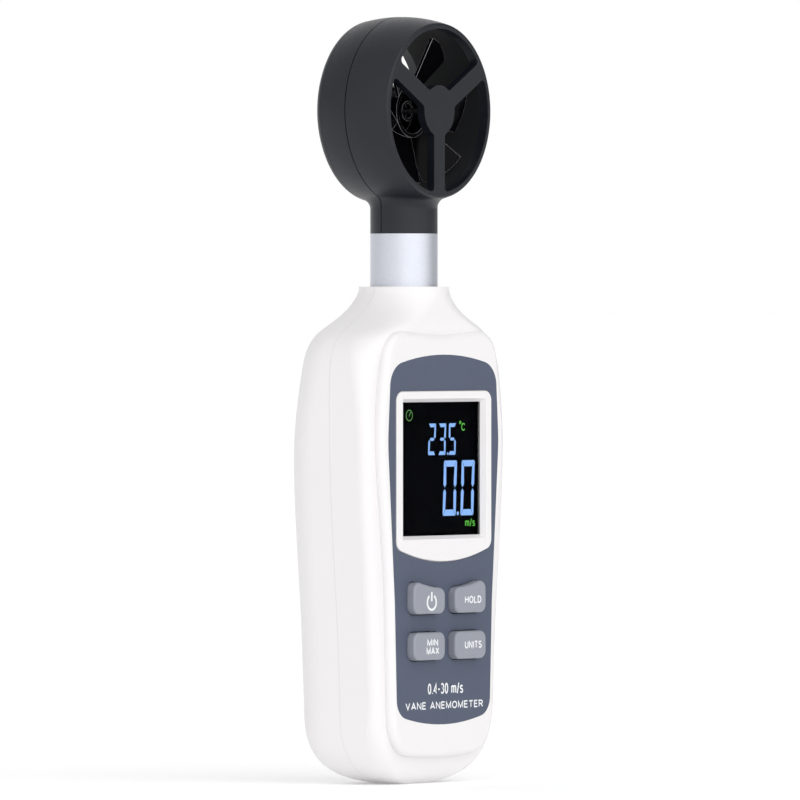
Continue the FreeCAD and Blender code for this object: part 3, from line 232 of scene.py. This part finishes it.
def lit_segment(name, colour, strength):
    """A lit display segment: slightly uneven backlight."""
    look = Nodes(name, Roughness=0.6, Specular_IOR_Level=0.1, Emission_Strength=strength)
    drift = look.remap(look.noise(4 * MM, 2), 0, 1)
    glow = look.vary_colour(shade(colour, 0.92), colour, drift)
    look.tree.links.new(glow, look.shader.inputs["Emission Color"])
    look.vary_colour(shade(colour, 0.03), shade(colour, 0.05), drift)
    return look.material


def clear_window(name):
    """Clear lens with an anti-reflection coating, faintly uneven in tone."""
    look = Nodes(name, Roughness=0.0, IOR=1.0, Transmission_Weight=1.0)
    look.vary_colour((0.95, 0.96, 0.97), (0.98, 0.99, 0.99), look.noise(9 * MM))
    return look.material


def glossy_black(name, colour, roughness, shine):
    """Polished black moulding: clear gloss with faint flow marks."""
    look = Nodes(name, Roughness=roughness, Specular_IOR_Level=shine)
    flow = look.noise(3 * MM, 3, 0.5, (1, 3, 1))
    look.vary_colour(shade(colour, 0.8), shade(colour, 1.3), flow)
    look.vary_roughness(flow, roughness - 0.03, roughness + 0.05)
    look.bump(flow, 0.006 * MM, 0.5)
    return look.material


def circuit_board(name):
    """Green solder mask over faint copper tracks."""
    look = Nodes(name, Roughness=0.35)
    tracks = look.add("ShaderNodeTexBrick", {
        "Vector": look.place, "Scale": 220.0, "Mortar Size": 0.03,
        "Color1": (0.012, 0.10, 0.04, 1), "Color2": (0.016, 0.13, 0.05, 1),
        "Mortar": (0.03, 0.22, 0.09, 1)})
    look.tree.links.new(tracks.outputs["Color"], look.shader.inputs["Base Color"])
    look.bump(tracks.outputs["Fac"], 0.02 * MM, 0.5)
    return look.material


def cell_sleeve(name):
    """Plain shrink sleeve with a lighter band round one end."""
    look = Nodes(name, Roughness=0.3)
    height = look.add("ShaderNodeSeparateXYZ", {"Vector": look.place}).outputs["Z"]
    band = look.add("ShaderNodeMapRange", {
        "Value": height, "From Min": 56 * MM, "From Max": 56.3 * MM}).outputs["Result"]
    look.vary_colour((0.03, 0.05, 0.16), (0.6, 0.45, 0.22), band)
    look.bump(look.noise(1.5 * MM, 2), 0.01 * MM, 0.4)
    return look.material


SEAM_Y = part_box("front_cover")[1].y
SHAFT_LOW, SHAFT_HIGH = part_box("rotor_shaft")
ROTOR_LOW, ROTOR_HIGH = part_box("impeller")
DUCT_MIDDLE = (SHAFT_LOW + SHAFT_HIGH) / 2
DUCT_REACH = (ROTOR_HIGH.x - ROTOR_LOW.x) / 2 + 2.0 * MM
DUCT_HALF_DEPTH = (SHAFT_HIGH.y - SHAFT_LOW.y) / 2
MATERIALS = {
    "case_white": case_plastic("case_white", (0.800, 0.786, 0.790), SEAM_Y),
    "overlay_grey": moulded("overlay_grey", (0.080, 0.096, 0.142), 0.5, 0.2 * MM, 0.003 * MM,
                            shine=0.3),
    "window": clear_window("window"),
    "display_black": glossy_black("display_black", (0.0010, 0.0010, 0.0020), 0.12, 0.008),
    "frame_plastic": moulded("frame_plastic", (0.035, 0.035, 0.04), 0.5, 0.3 * MM, 0.01 * MM),
    "rubber": moulded("rubber", (0.02, 0.02, 0.02), 0.7, 0.2 * MM, 0.01 * MM),
    "lead_sleeve": moulded("lead_sleeve", (0.03, 0.03, 0.03), 0.5, 0.3 * MM, 0.008 * MM),
    "circuit_board": circuit_board("circuit_board"),
    "chip_black": moulded("chip_black", (0.02, 0.02, 0.022), 0.6, 0.15 * MM, 0.01 * MM),
    "key_grey": moulded("key_grey", (0.275, 0.290, 0.335), 0.46, 0.2 * MM, 0.004 * MM),
    "cell_sleeve": cell_sleeve("cell_sleeve"),
    "spring_steel": metal("spring_steel", (0.6, 0.6, 0.62), 0.3, 0.3 * MM, 0.004 * MM),
    "anodised": anodised("anodised"),
    "head_black": head_plastic("head_black", (0.0066, 0.0076, 0.0125), 0.38, DUCT_MIDDLE,
                               DUCT_REACH, DUCT_HALF_DEPTH),
    "bush_brass": metal("bush_brass", (0.7, 0.5, 0.22), 0.3, 0.2 * MM, 0.004 * MM),
    "rotor_black": glossy_black("rotor_black", (0.0022, 0.0022, 0.003), 0.14, 0.05),
    "magnet_grey": metal("magnet_grey", (0.2, 0.2, 0.21), 0.55, 0.15 * MM, 0.01 * MM),
}
INK = printed("label_white", (0.86, 0.87, 0.89))
BLUE = lit_segment("segment_blue", (0.28, 0.51, 1.0), 1.0)
GREEN = lit_segment("segment_green", (0.14, 0.62, 0.08), 1.0)
DIM_GREEN = lit_segment("segment_dim_green", (0.10, 0.30, 0.08), 1.0)


def dress(obj, material):
    obj.data.materials.clear()
    obj.data.materials.append(material)


for part in frame["record"]["subparts"]:
    dress(nodes[part["node"]], MATERIALS[part["material_slot"]])


def soften(node, width, edge_highlight_material):
    """Break the sharp edges of a part, with a glossy finish along them whose lighter colour is a
    painted highlight.
    """
    part = nodes[node]
    weld = part.modifiers.new("weld", "WELD")
    weld.merge_threshold = 0.001 * MM
    bevel = part.modifiers.new("bevel", "BEVEL")
    bevel.width = width
    bevel.segments = 2
    bevel.limit_method = "ANGLE"
    bevel.angle_limit = math.radians(40)
    part.data.materials.append(edge_highlight_material)
    bevel.material = 1


# The rotor's edges are light grey on black: a painted highlight along them.
soften("impeller", 0.15 * MM, glossy_black("rotor_edge_highlight", (0.34, 0.34, 0.37), 0.22, 1.0))


# ---------------------------------------------------------------- making pieces

def new_piece(name, mesh, material, body):
    obj = bpy.data.objects.new(name, mesh)
    scene.collection.objects.link(obj)
    dress(obj, material)
    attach(obj, body)


PRINT_THICK = 0.02 * MM


def plate_piece(name, outlines, centre, material, body):
    """Thin plates cut to flat outlines in X and Z about centre, which is on the face below."""
    mesh = bpy.data.meshes.new(name)
    work = bmesh.new()
    for outline in outlines:
        low = [work.verts.new((x, 0, z)) for x, z in outline]
        high = [work.verts.new((x, -PRINT_THICK, z)) for x, z in outline]
        work.faces.new(low[::-1])
        work.faces.new(high)
        for index in range(len(outline)):
            work.faces.new((low[index - 1], low[index], high[index], high[index - 1]))
    bmesh.ops.recalc_face_normals(work, faces=work.faces)
    work.to_mesh(mesh)
    work.free()
    mesh.transform(Matrix.Translation(centre))
    new_piece(name, mesh, material, body)


def ribbon(work, points, half, lift, closed=False):
    """A flat band along points in X and Z, with mitred corners, lying on Y = 0."""
    spots = [Vector(point) for point in points]
    count = len(spots)
    rows = []
    for index, spot in enumerate(spots):
        before = spots[index - 1] if index or closed else None
        after = spots[(index + 1) % count] if index < count - 1 or closed else None
        ways = [way.normalized() for way in (
            spot - before if before is not None else Vector((0, 0)),
            after - spot if after is not None else Vector((0, 0))) if way.length > 0]
        way = sum(ways, Vector((0, 0))).normalized()
        side = Vector((-way.y, way.x))
        reach = half / max(abs(side.dot(Vector((-ways[0].y, ways[0].x)))), 0.45)
        rows.append([work.verts.new((place.x, level, place.y)) for level in (0, -lift)
                     for place in (spot - side * reach, spot + side * reach)])
    pairs = list(zip(rows, rows[1:] + rows[:1]))
    if not closed:
        pairs.pop()
        for end in (rows[0], rows[-1]):
            work.faces.new((end[0], end[1], end[3], end[2]))
    for first, last in pairs:
        for a, b in ((0, 1), (1, 3), (3, 2), (2, 0)):
            work.faces.new((first[a], first[b], last[b], last[a]))


def arc(x, z, wide, tall, start, end, steps=12):
    """Points along part of an oval about (x, z), angles in degrees."""
    turns = [math.radians(start + (end - start) * step / steps) for step in range(steps + 1)]
    return [(x + wide * math.cos(turn), z + tall * math.sin(turn)) for turn in turns]


def oval(wide):
    """An O of height 1, whose last point comes just before its first."""
    return arc(wide / 2, 0.5, wide / 2, 0.5, 90, 435, 23)


def snake(wide, tall=1.0):
    """The letter S, from its upper end to its lower."""
    half, upper, lower = wide / 2, tall * 0.76, tall * 0.26
    return (arc(half, upper, half * 0.95, tall * 0.24, 25, 270, 10)[:-1]
            + arc(half, lower, half, tall * 0.26, 90, -155, 10))


# Each glyph for a height of 1: its width, its strokes, and whether its first stroke is closed.
GLYPHS = {
    "H": (0.60, [[(0, 0), (0, 1)], [(0.60, 0), (0.60, 1)], [(0, 0.52), (0.60, 0.52)]], False),
    "O": (0.70, [oval(0.70)], True),
    "L": (0.48, [[(0, 1), (0, 0), (0.48, 0)]], False),
    "D": (0.60, [[(0, 1), (0, 0)] + arc(0.24, 0.5, 0.36, 0.5, -90, 90)], True),
    "M": (0.74, [[(0, 0), (0, 1), (0.37, 0.06), (0.74, 1), (0.74, 0)]], False),
    "I": (0.02, [[(0.01, 0), (0.01, 1)]], False),
    "N": (0.60, [[(0, 0), (0, 1), (0.60, 0), (0.60, 1)]], False),
    "A": (0.68, [[(0, 0), (0.34, 1), (0.68, 0)], [(0.13, 0.3), (0.55, 0.3)]], False),
    "X": (0.62, [[(0, 0), (0.62, 1)], [(0, 1), (0.62, 0)]], False),
    "U": (0.60, [[(0, 1)] + arc(0.30, 0.3, 0.30, 0.3, 180, 360) + [(0.60, 1)]], False),
    "T": (0.58, [[(0, 1), (0.58, 1)], [(0.29, 1), (0.29, 0)]], False),
    "S": (0.56, [snake(0.56)], False),
    "V": (0.64, [[(0, 1), (0.32, 0), (0.64, 1)]], False),
    "E": (0.50, [[(0.50, 1), (0, 1), (0, 0), (0.50, 0)], [(0, 0.52), (0.45, 0.52)]], False),
    "R": (0.60, [[(0, 0), (0, 1)] + arc(0.30, 0.74, 0.27, 0.26, 90, -90) + [(0, 0.48)],
                 [(0.32, 0.48), (0.60, 0)]], False),
    "C": (0.60, [arc(0.32, 0.5, 0.32, 0.5, 40, 320, 18)], False),
    "0": (0.50, [oval(0.50)], True),
    "3": (0.50, [arc(0.24, 0.76, 0.23, 0.24, 150, -80, 10)
                 + arc(0.24, 0.27, 0.26, 0.27, 85, -150, 12)], False),
    "4": (0.54, [[(0.42, 0), (0.42, 1), (0, 0.28), (0.54, 0.28)]], False),
    "-": (0.30, [[(0, 0.42), (0.30, 0.42)]], False),
    ".": (0.04, [[(0.02, -0.04), (0.02, 0.07)]], False),
    "/": (0.32, [[(0, -0.08), (0.32, 1.04)]], False),
    "m": (0.80, [[(0, 0), (0, 0.72)], arc(0.20, 0.5, 0.20, 0.22, 160, 0, 8) + [(0.40, 0)],
                 arc(0.60, 0.5, 0.20, 0.22, 160, 0, 8) + [(0.80, 0)]], False),
    "s": (0.46, [snake(0.46, 0.72)], False),
    " ": (0.22, [], False),
}
LETTER_GAP = 0.30


def label(name, text, centre, width, cap, line, material, body):
    """Printed lettering that faces the front: its width, capital height and line thickness."""
    mesh = bpy.data.meshes.new(name)
    work = bmesh.new()
    total = sum(GLYPHS[letter][0] for letter in text) + LETTER_GAP * (len(text) - 1)
    scale = Vector(((width - line) / total, cap - line))
    left = 0.0
    for letter in text:
        wide, strokes, closed = GLYPHS[letter]
        for index, stroke in enumerate(strokes):
            points = [((left + x - total / 2) * scale.x, (z - 0.5) * scale.y) for x, z in stroke]
            ribbon(work, points, line / 2, PRINT_THICK * (1 + 0.1 * index),
                   closed and index == 0)
        left += wide + LETTER_GAP
    bmesh.ops.recalc_face_normals(work, faces=work.faces)
    work.to_mesh(mesh)
    work.free()
    mesh.transform(Matrix.Translation(centre))
    new_piece(name, mesh, material, body)


# ---------------------------------------------------------------- display

LCD_LOW, LCD_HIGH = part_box("lcd_module")
LCD_MIDDLE = Vector(((LCD_LOW.x + LCD_HIGH.x) / 2, LCD_LOW.y, (LCD_LOW.z + LCD_HIGH.z) / 2))
SEGMENTS = {"0": "abcdef", "2": "abged", "3": "abgcd", "5": "afgcd"}
LEAN = math.tan(math.radians(2.5))    # of the digits, to the right
UNIT_LINE = 0.24 * MM


def segment_outline(letter, wide, tall, bar, gap):
    """One of seven segments, as (x, z) points from the digit's low left corner."""
    half = tall / 2
    tip = bar * 0.5
    flat = {
        "a": [(gap, tall), (wide - gap, tall), (wide - bar * 0.75, tall - bar),
              (bar * 0.75, tall - bar)],
        "d": [(bar * 0.75, bar), (wide - bar * 0.75, bar), (wide - gap, 0), (gap, 0)],
        "g": [(tip + gap, half), (bar, half + tip * 0.8), (wide - bar, half + tip * 0.8),
              (wide - tip - gap, half), (wide - bar, half - tip * 0.8), (bar, half - tip * 0.8)],
    }
    if letter in flat:
        return flat[letter]
    side = [(0, half + tip + gap), (0, tall - gap * 2), (gap, tall - gap), (bar * 0.75 - gap,
            tall - bar), (bar * 0.75, half + tip + gap), (bar * 0.38, half + gap)]
    if letter in "bc":
        side = [(wide - x, z) for x, z in side]
    if letter in "ce":
        side = [(x, tall - z) for x, z in side]
    return side


def lit_digits(name, text, places, low, tall, wide, bar, gap):
    """A row of seven-segment digits; places are their left edges from the display's middle."""
    outlines = []
    for digit, left in zip(text, places):
        for letter in SEGMENTS[digit]:
            shape = segment_outline(letter, wide, tall, bar, gap)
            outlines.append([((left + x + (z - tall) * LEAN) * MM, (low + z) * MM)
                             for x, z in shape])
    plate_piece(name, outlines, LCD_MIDDLE, BLUE, "case")


def dot_outline(x, z, radius):
    return [((x + radius * math.cos(turn)) * MM, (z + radius * math.sin(turn)) * MM)
            for turn in [math.radians(45 * step) for step in range(8)]]


def band_outlines(x, z, outer, inner, start, end, steps):
    """Short plates along an arc, angles in degrees, that meet edge to edge."""
    outlines = []
    for step in range(steps):
        first, last = [math.radians(start + (end - start) * (step + ahead) / steps)
                       for ahead in (0, 1)]
        outlines.append([((x + radius * math.cos(turn)) * MM, (z + radius * math.sin(turn)) * MM)
                         for radius, turn in ((outer, first), (outer, last), (inner, last),
                                              (inner, first))])
    return outlines


def bar_outline(start, end, half):
    """A straight bar between two points."""
    begin, finish = Vector(start), Vector(end)
    side = (finish - begin).orthogonal().normalized() * half
    return [tuple(spot * MM) for spot in (begin - side, finish - side, finish + side,
                                          begin + side)]


def make_display():
    """What the display shows, in millimetres from its middle."""
    lit_digits("display_temperature", "235", (-2.9, 1.0, 4.9), low=3.1, tall=7.2, wide=2.75,
               bar=0.85, gap=0.12)
    lit_digits("display_speed", "00", (2.95, 9.8), low=-10.8, tall=12.6, wide=5.0, bar=1.4,
               gap=0.16)
    plate_piece("display_points", [dot_outline(4.35, 3.4, 0.3), dot_outline(8.25, -10.3, 0.45)],
                LCD_MIDDLE, BLUE, "case")
    clock = band_outlines(-10.4, 12.2, 1.3, 1.1, 0, 360, 28)
    clock.append(bar_outline((-10.5, 12.0), (-9.9, 13.0), 0.11))
    plate_piece("display_clock", clock, LCD_MIDDLE, DIM_GREEN, "case")
    degree = band_outlines(9.2, 10.45, 0.38, 0.17, 0, 360, 16)
    plate_piece("display_degree", degree, LCD_MIDDLE, GREEN, "case")
    for name, text, x, z, width, cap in (("display_celsius", "C", 10.35, 9.45, 1.45, 1.75),
                                         ("display_unit", "m/s", 13.0, -12.45, 3.8, 1.75)):
        label(name, text, LCD_MIDDLE + Vector((x * MM, 0, z * MM)), width * MM, cap * MM,
              UNIT_LINE, GREEN, "case")


# ---------------------------------------------------------------- printed labels

KEY_BODIES = {"power_button": "power_key", "hold_button": "hold_key",
              "min_max_button": "min_max_key", "units_button": "units_key"}


def key_face(node, x, z):
    """A point on a key's face, from the middle of the key."""
    low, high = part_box(node)
    return Vector(((low.x + high.x) / 2 + x * MM, low.y, (low.z + high.z) / 2 + z * MM))


KEY_LINE = 0.31 * MM


def make_labels():
    """The printing on the keys and the panel, in millimetres: place, width and capital height."""
    symbol = band_outlines(0, -0.25, 1.95, 1.45, 122, 418, 30)
    symbol.append(bar_outline((0, 0.0), (0, 2.1), 0.27))
    plate_piece("power_symbol", symbol, key_face("power_button", 0.6, -0.3), INK, "power_key")
    for name, node, text, x, z, width, cap in (
            ("hold_label", "hold_button", "HOLD", 0.8, -0.2, 6.3, 1.7),
            ("min_label", "min_max_button", "MIN", 0.95, 0.85, 4.1, 1.55),
            ("max_label", "min_max_button", "MAX", 1.0, -1.05, 4.8, 1.6),
            ("units_label", "units_button", "UNITS", 0.85, 0.05, 6.5, 1.7)):
        label(name, text, key_face(node, x, z), width * MM, cap * MM, KEY_LINE, INK,
              KEY_BODIES[node])
    low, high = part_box("panel_overlay")
    for name, text, x, up, width, cap, line in (
            ("range_label", "0.4-30 m/s", 0.7, 8.2, 13.6, 2.5, 0.38),
            ("type_label", "VANE ANEMOMETER", 0.3, 4.4, 29.8, 1.7, 0.3)):
        centre = Vector((x * MM, low.y, low.z + up * MM))
        label(name, text, centre, width * MM, cap * MM, line * MM, INK, "case")


# ---------------------------------------------------------------- camera, floor and light

EYE_AZIMUTH = math.radians(-53.5)
EYE_DISTANCE = 2.66
EYE_HEIGHT = 0.1115
LENS = 524.0            # millimetres
SIGHT_HEIGHT = 0.5      # where it looks, as a share of the object's height
SIGHT_ASIDE = 0.9 * MM  # how far beside the neck's axis it looks


def make_camera():
    """The camera stands to the left in front, far away, at the height of the shoulder."""
    low, high = CAD_BOX
    seal_low, seal_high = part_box("neck_seal")
    away = Vector((math.sin(EYE_AZIMUTH), -math.cos(EYE_AZIMUTH), 0))
    aside = Vector((-away.y, away.x, 0))
    target = (seal_low + seal_high) / 2 - aside * SIGHT_ASIDE
    target.z = low.z + (high.z - low.z) * SIGHT_HEIGHT
    camera = bpy.data.objects.new("camera", bpy.data.cameras.new("camera"))
    camera.location = target + away * EYE_DISTANCE
    camera.location.z = EYE_HEIGHT
    camera.rotation_mode = "QUATERNION"
    camera.rotation_quaternion = (target - camera.location).to_track_quat("-Z", "Y")
    camera.data.lens = LENS
    camera.data.clip_start, camera.data.clip_end = 0.05, 200.0
    scene.collection.objects.link(camera)
    scene.camera = camera


FLOOR_RADII = (0.3, 2.0, 12.0, 70.0)
FLOOR_SIDES = 96


def make_stage():
    """A wide pale floor."""
    mesh = bpy.data.meshes.new("floor")
    work = bmesh.new()
    loops = [[work.verts.new((radius * math.cos(math.tau * step / FLOOR_SIDES),
                              radius * math.sin(math.tau * step / FLOOR_SIDES), 0))
              for step in range(FLOOR_SIDES)] for radius in FLOOR_RADII]
    work.faces.new(loops[0])
    for inner, outer in zip(loops, loops[1:]):
        for step in range(FLOOR_SIDES):
            work.faces.new((inner[step - 1], outer[step - 1], outer[step], inner[step]))
    bmesh.ops.recalc_face_normals(work, faces=work.faces)
    work.to_mesh(mesh)
    work.free()
    floor = bpy.data.objects.new("floor", mesh)
    scene.collection.objects.link(floor)
    look = Nodes("floor", Roughness=0.9, Specular_IOR_Level=0.2, Emission_Strength=0.15)
    look.shader.inputs["Emission Color"].default_value = (1, 1, 1, 1)
    look.vary_colour((0.975, 0.975, 0.975), (0.985, 0.985, 0.985), look.noise(0.5))
    dress(floor, look.material)


LIGHT_SIZE = 0.9
LIGHT_TARGET = Vector((0, 0, 0.09))


def area_light(name, place, power):
    light = bpy.data.lights.new(name, "AREA")
    light.shape = "SQUARE"
    light.size = LIGHT_SIZE
    light.energy = power
    obj = bpy.data.objects.new(name, light)
    obj.location = place
    obj.rotation_mode = "QUATERNION"
    obj.rotation_quaternion = (LIGHT_TARGET - Vector(place)).to_track_quat("-Z", "Y")
    scene.collection.objects.link(obj)


# The room's light: an even level, and glows around some directions. Each glow is its azimuth
# from the front, its elevation, the cosines where it starts and is full, and its strength.
# The room itself looks plain white from every side.
ROOM_LEVEL = 0.66
GLOWS = (
    (126.5, 0, 0.60, 0.88, 0.34),    # the white backdrop behind the object
    (-14, 14, 0.36, 1.00, 1.10),     # a large soft box in front of the display
    (-82, 8, 0.45, 1.00, 0.42),      # the pale wall at the left
    (78, 0, 0.66, 0.90, -0.64),      # a dark flag at the right
)


def heading(azimuth, elevation):
    azimuth, elevation = math.radians(azimuth), math.radians(elevation)
    return Vector((math.sin(azimuth) * math.cos(elevation),
                   -math.cos(azimuth) * math.cos(elevation), math.sin(elevation)))


def make_room():
    world = bpy.data.worlds.new("studio")
    scene.world = world
    world.use_nodes = True
    tree = world.node_tree
    backdrop = tree.nodes["Background"]
    backdrop.inputs["Color"].default_value = (1.0, 1.0, 1.0, 1)
    way = tree.nodes.new("ShaderNodeTexCoord").outputs["Generated"]
    level = None
    for azimuth, elevation, start, full, strength in GLOWS:
        facing = tree.nodes.new("ShaderNodeVectorMath")
        facing.operation = "DOT_PRODUCT"
        facing.inputs[1].default_value = heading(azimuth, elevation)
        tree.links.new(way, facing.inputs[0])
        glow = tree.nodes.new("ShaderNodeMapRange")
        glow.interpolation_type = "SMOOTHSTEP"
        for socket, value in (("From Min", start), ("From Max", full), ("To Max", strength)):
            glow.inputs[socket].default_value = value
        tree.links.new(facing.outputs["Value"], glow.inputs["Value"])
        total = tree.nodes.new("ShaderNodeMath")
        total.inputs[0].default_value = ROOM_LEVEL
        if level is not None:
            tree.links.new(level, total.inputs[0])
        tree.links.new(glow.outputs["Result"], total.inputs[1])
        level = total.outputs["Value"]
    seen = tree.nodes.new("ShaderNodeMix")
    seen.inputs["B"].default_value = 1.0
    tree.links.new(tree.nodes.new("ShaderNodeLightPath").outputs["Is Camera Ray"],
                   seen.inputs["Factor"])
    tree.links.new(level, seen.inputs["A"])
    tree.links.new(seen.outputs["Result"], backdrop.inputs["Strength"])


def make_lights():
    area_light("front_light", (-0.4, -1.9, 0.7), 0.6)
    area_light("top_light", (0.1, 0.2, 1.8), 0.5)


make_camera()
make_display()
make_labels()
make_stage()
make_room()
make_lights()
scene.view_settings.view_transform = "Standard"
